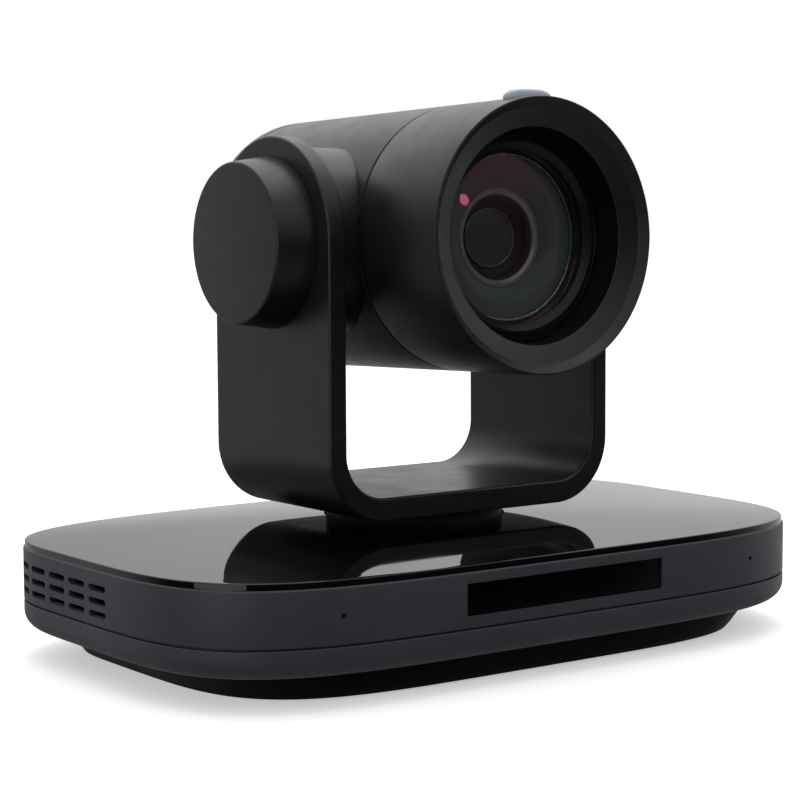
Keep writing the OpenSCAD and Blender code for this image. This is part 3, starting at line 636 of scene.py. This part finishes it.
def build_window():
    low, high = node_box("ir_window")
    half = WINDOW_HALF - 0.15
    pane = block("window_pane", (-half, low.y, WINDOW_FOOT + 0.1), (half, low.y + 2.4, WINDOW_TOP - 0.1), 0.35)
    flange = block("window_flange", (low.x, high.y - 1.2, low.z), (high.x, high.y, high.z), 0.2)
    window = join("ir_window_pane", [pane, flange])
    return place_piece(window, window_gloss, "base", ["ir_window"])


def build_socket_contacts():
    """Gold contacts and pins inside the rear sockets."""
    strips = []
    low, high = node_box("lan_jack")
    for k in range(8):
        x = (low.x + high.x) / 2 + 1.02 * (k - 3.5)
        strips.append(block("contact", (x - 0.22, high.y - 11, low.z + 8.9),
            (x + 0.22, high.y - 2.2, low.z + 9.3), 0.08))
    low, high = node_box("hdmi_socket")
    for k in range(10):
        x = (low.x + high.x) / 2 + 1.0 * (k - 4.5)
        strips.append(block("contact", (x - 0.25, high.y - 7.6, low.z + 3.78),
            (x + 0.25, high.y - 1.7, low.z + 3.88), 0.03))
    low, high = node_box("usb_socket")
    for side in (-1, 1):
        for level in (3.5, 6.58):
            x = (low.x + high.x) / 2 + 1.3 * side
            strips.append(block("contact", (x - 0.5, high.y - 8, low.z + level),
                (x + 0.5, high.y - 1.9, low.z + level + 0.12), 0.04))
    low, high = node_box("dc_jack")
    pin = fillet([(0, -9), (1.05, -9), (1.05, -0.6, 0.4), (0, -0.6)], closed=False)
    facing = (Matrix.Translation(((low.x + high.x) / 2, high.y, low.z + 6))
        @ Matrix.Rotation(math.radians(-90), 4, "X"))
    strips.append(lathe("pin", pin, facing, closed=False, segments=48))
    return place_piece(join("socket_contacts", strips), gold, "base")


def build_panel_screws():
    """Screws with a socket in the head at both ends of the rear panel."""
    low, high = node_box("rear_panel")
    screws = []
    for side in (-1, 1):
        facing = (Matrix.Translation((side * PANEL_SCREW_X, high.y, PANEL_SCREW_Z))
            @ Matrix.Rotation(math.radians(-90), 4, "X"))
        head = fillet([(0, 0.02), (1.9, 0.02), (1.9, 0.5, 0.2), (0.95, 0.8, 0.1), (0.85, 0.3), (0, 0.2)],
            closed=False)
        screws.append(lathe("screw", head, facing, closed=False, segments=48))
    return place_piece(join("panel_screws", screws), turned_steel, "base")


build_socket_contacts()
build_panel_screws()
build_band()
build_lower_shell()
build_plinth()
build_feet()
build_top_plate()
build_window()


# ---------------------------------------------------------------- yoke


def build_yoke():
    low, high = node_box("yoke_frame")
    arm_out = high.x
    arm_t, floor_t = 6.5, 7.8
    arm_r = (high.y - low.y) / 2
    outer_r, inner_r = 22, 15
    top = high.z + 5
    u_outline = fillet([(-arm_out, top), (-arm_out, low.z, outer_r), (arm_out, low.z, outer_r),
        (arm_out, top), (arm_out - arm_t, top), (arm_out - arm_t, low.z + floor_t, inner_r),
        (-arm_out + arm_t, low.z + floor_t, inner_r), (-arm_out + arm_t, top)], steps=28)
    band = prism("yoke_band", u_outline, -arm_r, arm_r,
        Matrix.Translation((0, PAN.y, 0)) @ Matrix.Rotation(math.radians(90), 4, "X"))
    head = [(arm_r * math.cos(a), TILT.z + arm_r * math.sin(a)) for a in arc_angles(0, 180, 96)]
    side_outline = [(arm_r, low.z - 5)] + head + [(-arm_r, low.z - 5)]
    profile = prism("yoke_side", side_outline, -arm_out - 5, arm_out + 5,
        Matrix.Translation((0, PAN.y, 0)) @ Matrix.Rotation(math.radians(90), 4, "Z")
        @ Matrix.Rotation(math.radians(90), 4, "X"))
    boolean(band, [profile], "INTERSECT")
    holes = [bore("bush_hole", 10, arm_out - arm_t - 1, arm_out + 1, tilt_axis(side)) for side in (-1, 1)]
    holes.append(bore("pan_hole", 6, low.z - 1, low.z + 4, Matrix.Translation((PAN.x, PAN.y, 0))))
    boolean(band, [join("yoke_holes", holes)])
    round_edges(band, 0.9, 4)
    return place_piece(band, case_plastic, "yoke", ["yoke_frame"])


def build_hub_cap(side, name):
    low, high = node_box(name)
    face = max(abs(low.x), abs(high.x))
    foot = min(abs(low.x), abs(high.x))
    path = fillet([(0, face), (26.2, face, 0.9), (28.2, foot, 0.25), (25.8, foot), (23.8, face - WALL),
        (0, face - WALL)], closed=False, steps=8)
    cap = lathe(name + "_turned", path, tilt_axis(side), closed=False, segments=224)
    return place_piece(cap, case_plastic, "yoke", [name])


build_yoke()
build_hub_cap(-1, "hub_cap_left")
build_hub_cap(1, "hub_cap_right")


# ---------------------------------------------------------------- head

HEAD_FRONT = 71.6
HEAD_REAR = 66.0
BARREL_R = 44.0
SKIN_IN = BARREL_R - WALL
BEZEL_BACK = 30.6
BORE_R = 34.6
GLASS_R = 28.4
SECOND_R = 15.4
THIRD_R = 8.2
TALLY_W = 18.0
TALLY_D = 6.0
TALLY_AT = HEAD_FRONT - 8.5


def build_barrel():
    rear = -HEAD_REAR + 6.5
    path = fillet([(SKIN_IN, rear), (BARREL_R, rear, 0.35), (BARREL_R, BEZEL_BACK - 0.6, 0.35),
        (SKIN_IN - 0.1, BEZEL_BACK - 0.6), (SKIN_IN - 0.1, BEZEL_BACK + 3), (SKIN_IN - 1.6, BEZEL_BACK + 3),
        (SKIN_IN - 1.6, BEZEL_BACK - 4), (SKIN_IN, BEZEL_BACK - 4)])
    barrel = lathe("barrel_shell_turned", path, LENS_AXIS, segments=256)
    pinion = Vector(JOINTS["tilt_pinion_spin"]["pos_m"]) / MM
    holes = [bore("shaft_hole", 7.05, 30, 50, tilt_axis(side)) for side in (-1, 1)]
    holes.append(bore("pinion_hole", 2.2, 20, 60,
        Matrix.Translation((0, pinion.y, pinion.z)) @ Matrix.Rotation(math.radians(-90), 4, "Y")))
    boolean(barrel, [join("barrel_holes", holes)])
    smooth(barrel)
    return place_piece(barrel, case_plastic, "head", ["barrel_shell"])


def build_bezel():
    front = HEAD_FRONT
    bore_path = [(BORE_R, front - 4.9, 0.4)]
    ridge = front - 8.0
    while ridge > 57:
        bore_path += [(BORE_R, ridge), (BORE_R - 0.35, ridge - 0.35), (BORE_R - 0.35, ridge - 0.6),
            (BORE_R, ridge - 0.95)]
        ridge -= 1.5
    path = fillet([(BARREL_R, BEZEL_BACK, 0.35), (BARREL_R, front - 0.1, 0.5), (BARREL_R - 0.6, front, 0.2),
        (BARREL_R - 3.1, front - 2.5, 0.3)] + bore_path + [(BORE_R, 44), (BORE_R + 1.8, 44),
        (BORE_R + 1.8, front - 7.2), (SKIN_IN, front - 5), (SKIN_IN, BEZEL_BACK)])
    bezel = lathe("front_bezel_turned", path, LENS_AXIS, segments=256)
    return place_piece(bezel, case_plastic, "head", ["front_bezel"])


def build_rear_cover():
    back = -HEAD_REAR
    path = fillet([(0, back), (33, back), (34, back + 0.35), (35, back), (BARREL_R, back, 6),
        (BARREL_R, back + 6, 0.2), (SKIN_IN - 0.1, back + 6), (SKIN_IN - 0.1, back + 9),
        (SKIN_IN - 1.7, back + 9), (SKIN_IN - 1.7, back + 6), (38, back + WALL, 2), (0, back + WALL)],
        closed=False, steps=12)
    cover = lathe("rear_cover_turned", path, LENS_AXIS, closed=False, segments=256)
    return place_piece(cover, case_plastic, "head", ["rear_cover"])


def build_retainer():
    path = fillet([(GLASS_R - 0.4, 54.4), (GLASS_R - 0.4, 56.6, 0.2), (GLASS_R + 1.8, 58.2, 0.3),
        (GLASS_R + 3.0, 58.2), (GLASS_R + 3.2, 57.9), (GLASS_R + 3.4, 58.2), (34.1, 58.2, 0.4),
        (34.1, 53.9), (GLASS_R, 53.9)])
    ring = lathe("front_retainer_turned", path, LENS_AXIS, segments=224)
    return place_piece(ring, lens_ring_grey, "head", ["front_retainer"])


def lens_path(radius, back, front, bulge_back, bulge_front, steps=24):
    """Section of a round lens, from its front pole out to the rim and in to its rear pole."""
    out = [(radius * k / steps, front + bulge_front * (1 - (k / steps) ** 2)) for k in range(steps + 1)]
    out += [(radius * k / steps, back - bulge_back * (1 - (k / steps) ** 2)) for k in range(steps, -1, -1)]
    return out


def build_glass():
    front = lathe("front_glass_ground", lens_path(GLASS_R, 50.4, 54.2, -1.6, 3.4), LENS_AXIS, closed=False)
    place_piece(front, front_coating, "head", ["front_glass"])
    second = lathe("second_glass_ground", lens_path(SECOND_R, 42.6, 44, -0.5, 1.6), LENS_AXIS, closed=False)
    place_piece(second, inner_coating, "head", ["second_glass"])
    third = lathe("third_glass_ground", lens_path(THIRD_R, 39.1, 40.1, -0.4, 1.2), LENS_AXIS, closed=False,
        segments=128)
    place_piece(third, rear_coating, "head", ["third_glass"])


def build_baffle():
    """Funnel with fine steps between the front glass and the second glass."""
    count = 7
    steps = []
    for k in range(count):
        radius = 20.8 - 5.1 * k / count
        height = 48.8 - 3.0 * k / count
        steps += [(radius, height), (radius - 0.45, height - 0.12), (radius - 0.45, height - 0.4)]
    path = steps + [(15.7, 45.8), (SECOND_R + 0.06, 45.8), (SECOND_R + 0.06, 42.5), (12.8, 42.5), (12.8, 41),
        (30.2, 41), (30.2, 48.8)]
    ring = lathe("baffle_ring_turned", path, LENS_AXIS, segments=224)
    return place_piece(ring, funnel_grey, "head", ["baffle_ring"])


def build_second_retainer():
    path = fillet([(13.4, 44.5), (SECOND_R, 44.5), (SECOND_R, 45.9, 0.15), (14.2, 45.9, 0.15), (13.4, 45.3)])
    # The ring's pink tint is painted reflection of the coatings' pink light.
    ring = lathe("second_retainer_turned", path, LENS_AXIS, segments=160)
    return place_piece(ring, retainer_grey_painted_pink, "head", ["second_retainer"])


def build_seat_rings():
    """Bright edges of the seats around the front glass and the third glass."""
    front = fillet([(25.85, 49.3, 0.2), (26.45, 49.3), (26.45, 50.1), (26.1, 50.1, 0.15)])
    rear = fillet([(THIRD_R + 0.1, 40.25), (THIRD_R + 0.8, 40.25), (THIRD_R + 0.7, 40.75, 0.15),
        (THIRD_R + 0.3, 40.75, 0.15)])
    place_piece(lathe("front_seat_ring", front, LENS_AXIS, segments=224), turned_steel, "head")
    place_piece(lathe("rear_seat_ring", rear, LENS_AXIS, segments=128), seat_metal, "head")


def build_bore_shade_lining():
    """Black lining of the bore in front of the glass, with fine grooves; its extra darkness beyond the case's
    black is painted shade for the shade inside the bore.
    """
    path = [(BORE_R - 0.04, 58.5)]
    ridge = 58.6
    while ridge < 65.8:
        path += [(BORE_R - 0.35, ridge), (BORE_R - 0.35, ridge + 0.25), (BORE_R - 0.12, ridge + 0.5)]
        ridge += 0.75
    path += [(BORE_R - 0.04, 66.5)]
    lining = lathe("bore_shade_lining_turned", path, LENS_AXIS, segments=224)
    return place_piece(lining, bore_painted_shade, "head")


def build_tally():
    """Low clear dome that follows the barrel's curve."""
    rings = []
    count = 40
    steps = ((0, 1.0), (0.8, 1.0), (1.5, 0.96), (2.1, 0.86), (2.6, 0.7), (2.8, 0.45), (2.86, 0.2))
    for lift, shrink in steps:
        ring = []
        for k in range(count):
            a = 2 * math.pi * k / count
            x = shrink * TALLY_W / 2 * math.copysign(abs(math.cos(a)) ** 0.55, math.cos(a))
            along = shrink * TALLY_D / 2 * math.copysign(abs(math.sin(a)) ** 0.55, math.sin(a))
            drop = BARREL_R - math.sqrt(BARREL_R ** 2 - x * x)
            ring.append((x, BARREL_R - 0.3 + lift - drop * (1 - lift / 4), TALLY_AT + along))
        rings.append(ring)
    light = skin("tally_light_dome", rings, False, LENS_AXIS, sharp=60)
    return place_piece(light, tally_plastic, "head", ["tally_light"])


build_barrel()
build_bezel()
build_rear_cover()
build_retainer()
build_glass()
build_baffle()
build_second_retainer()
build_seat_rings()
build_bore_shade_lining()
build_tally()


# ---------------------------------------------------------------- stage, light and camera


def build_floor():
    """Plain white floor with a faint glow: it takes soft shadow, and throws no light back at the object."""
    bpy.ops.mesh.primitive_plane_add(size=12, location=(0, 0, -0.0002))
    floor = bpy.context.object
    floor.name = "floor"
    m = Nodes("floor_white", (0.95, 0.95, 0.95), 0.7, Specular_IOR_Level=0.0, Emission_Strength=0.45)
    m.set("Emission Color", (1, 1, 1, 1))
    m.rough(m.noise(3, 2), 0.68, 0.74)
    floor.data.materials.append(m.material)
    floor.visible_diffuse = False
    floor.visible_glossy = False
    floor.visible_transmission = False


def area_light(name, place, aim, size, power, shape="RECTANGLE"):
    """White lamp at a place, turned to the point that it aims at; sizes in metres."""
    data = bpy.data.lights.new(name, "AREA")
    data.shape = shape
    data.size, data.size_y = size
    data.energy = power
    light = bpy.data.objects.new(name, data)
    light.location = place
    light.rotation_euler = (Vector(aim) - Vector(place)).to_track_quat("-Z", "Y").to_euler()
    bpy.context.scene.collection.objects.link(light)


REAR_RIGHT = (0.585, 0.811, 0)
FAR_RIGHT = (0.9, 0.436, 0)


def build_world():
    """Studio: bright above and behind the object, dim low down, and plain white where the camera sees it."""
    world = bpy.data.worlds.new("studio")
    bpy.context.scene.world = world
    world.use_nodes = True
    tree = world.node_tree
    background = tree.nodes["Background"]
    direction = tree.nodes.new("ShaderNodeTexCoord").outputs["Generated"]

    def along(vector):
        node = tree.nodes.new("ShaderNodeVectorMath")
        node.operation = "DOT_PRODUCT"
        node.inputs[1].default_value = vector
        tree.links.new(direction, node.inputs[0])
        return node.outputs["Value"]

    def ramp(value, start, end, low, high):
        node = tree.nodes.new("ShaderNodeMapRange")
        node.interpolation_type = "SMOOTHSTEP"
        for socket, number in (("From Min", start), ("From Max", end), ("To Min", low), ("To Max", high)):
            node.inputs[socket].default_value = number
        tree.links.new(value, node.inputs["Value"])
        return node.outputs["Result"]

    def mix(factor, a, b):
        node = tree.nodes.new("ShaderNodeMix")
        node.data_type = "FLOAT"
        for value, socket in ((factor, 0), (a, 2), (b, 3)):
            if isinstance(value, float):
                node.inputs[socket].default_value = value
            else:
                tree.links.new(value, node.inputs[socket])
        return node.outputs[0]

    behind = along(REAR_RIGHT)
    up = along((0, 0, 1))
    backdrop = ramp(along(FAR_RIGHT), 0.6, 1.0, 0.5, 0.85)
    horizon = mix(ramp(behind, -0.2, 0.5, 0.0, 1.0), 0.03, backdrop)
    high = ramp(behind, 0.0, 0.85, 0.64, 1.55)
    sky = mix(ramp(up, 0.1, 0.6, 0.0, 1.0), horizon, high)
    lit = mix(ramp(up, -0.6, -0.15, 0.0, 1.0), 0.22, sky)
    camera_ray = tree.nodes.new("ShaderNodeLightPath").outputs["Is Camera Ray"]
    tree.links.new(mix(camera_ray, lit, 1.0), background.inputs["Strength"])
    background.inputs["Color"].default_value = (1, 1, 1, 1)


def build_camera():
    """Seen from the left, a little above the lens, through a 95 mm lens."""
    azimuth, elevation, roll = math.radians(35.94), math.radians(5.18), math.radians(-0.31)
    data = bpy.data.cameras.new("camera")
    data.sensor_width = 36
    data.lens = 95.03
    data.clip_start = 0.01
    data.clip_end = 50
    camera = bpy.data.objects.new("camera", data)
    camera.location = (-0.42984, -0.58265, 0.14743)
    forward = Vector((math.sin(azimuth) * math.cos(elevation), math.cos(azimuth) * math.cos(elevation),
        -math.sin(elevation)))
    right = Vector((math.cos(azimuth), -math.sin(azimuth), 0))
    up = right.cross(forward)
    tilted = right * math.cos(roll) + up * math.sin(roll)
    upright = up * math.cos(roll) - right * math.sin(roll)
    camera.rotation_euler = Matrix((tilted, upright, -forward)).transposed().to_euler()
    bpy.context.scene.collection.objects.link(camera)
    bpy.context.scene.camera = camera


build_floor()
build_world()
area_light("overhead", (0.1, 0.1, 1.2), (0, 0, 0.1), (1.0, 1.0), 4)
area_light("left_front", (-1.3, -0.5, 0.2), (0, 0, 0.05), (1.2, 0.8), 3.2)
area_light("right_front", (0.45, -1.4, 0.48), (0, -0.06, 0.13), (0.085, 0.085), 0.13, "ELLIPSE")
build_camera()
bpy.context.scene.view_settings.view_transform = "Standard"
